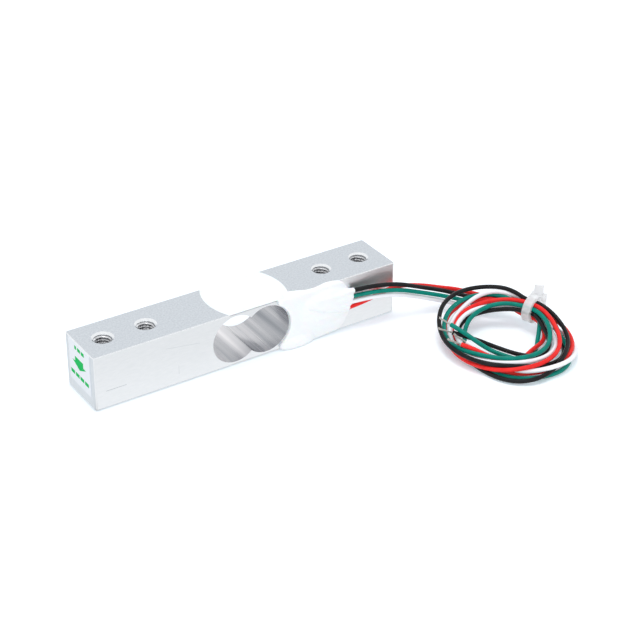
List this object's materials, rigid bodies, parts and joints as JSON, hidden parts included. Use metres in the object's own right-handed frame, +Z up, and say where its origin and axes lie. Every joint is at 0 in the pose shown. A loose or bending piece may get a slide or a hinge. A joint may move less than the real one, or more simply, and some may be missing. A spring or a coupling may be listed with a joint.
{
  "type": "bar load cell",
  "caption": "Small square aluminium bar load cell with a two-bore spring element, tapped mounting holes, silicone-sealed strain gauges and a tied coil of leads.",
  "frame": {"origin": "on the underside of the bar, midway between the two tapped holes of the fixed end, where that end sits on its base", "axes": "+X along the bar from the load end to the fixed end, +Z up through the tapped holes, +Y towards the plain side, away from the side where the leads come out"},
  "size_m": [0.1033, 0.0535, 0.013],
  "materials": {
    "beam_aluminium": "finely blasted top, ground sides",
    "silicone": "white cast silicone, soft sheen",
    "label_paper": "white coated paper sticker",
    "board_laminate": "glass-epoxy laminate",
    "copper": "bare copper",
    "solder": "bright solder",
    "gauge_film": "amber polyimide film",
    "gauge_foil": "etched foil",
    "wire_red": "glossy lead insulation",
    "wire_black": "glossy lead insulation",
    "wire_green": "glossy lead insulation",
    "wire_white": "glossy lead insulation",
    "tinned_strand": "tinned copper strands",
    "tie_nylon": "translucent natural nylon"
  },
  "bodies": {
    "root": {"beam": "beam_aluminium", "bridge_wires_bottom": "copper", "bridge_wires_top": "copper", "coil_tie": "tie_nylon", "end_label": "label_paper", "gauge_bottom_fixed": "gauge_film", "gauge_bottom_load": "gauge_film", "gauge_seal": "silicone", "gauge_top_fixed": "gauge_film", "gauge_top_load": "gauge_film", "grid_bottom_fixed": "gauge_foil", "grid_bottom_load": "gauge_foil", "grid_top_fixed": "gauge_foil", "grid_top_load": "gauge_foil", "lead_black": "wire_black", "lead_coil": "wire_red", "lead_green": "wire_green", "lead_red": "wire_red", "lead_white": "wire_white", "solder_joints": "solder", "tail_black": "wire_black", "tail_green": "wire_green", "tail_red": "wire_red", "tail_white": "wire_white", "terminal_board": "board_laminate", "terminal_pads": "copper", "tip_black": "tinned_strand", "tip_green": "tinned_strand", "tip_red": "tinned_strand", "tip_white": "tinned_strand"}
  },
  "joints": []
}
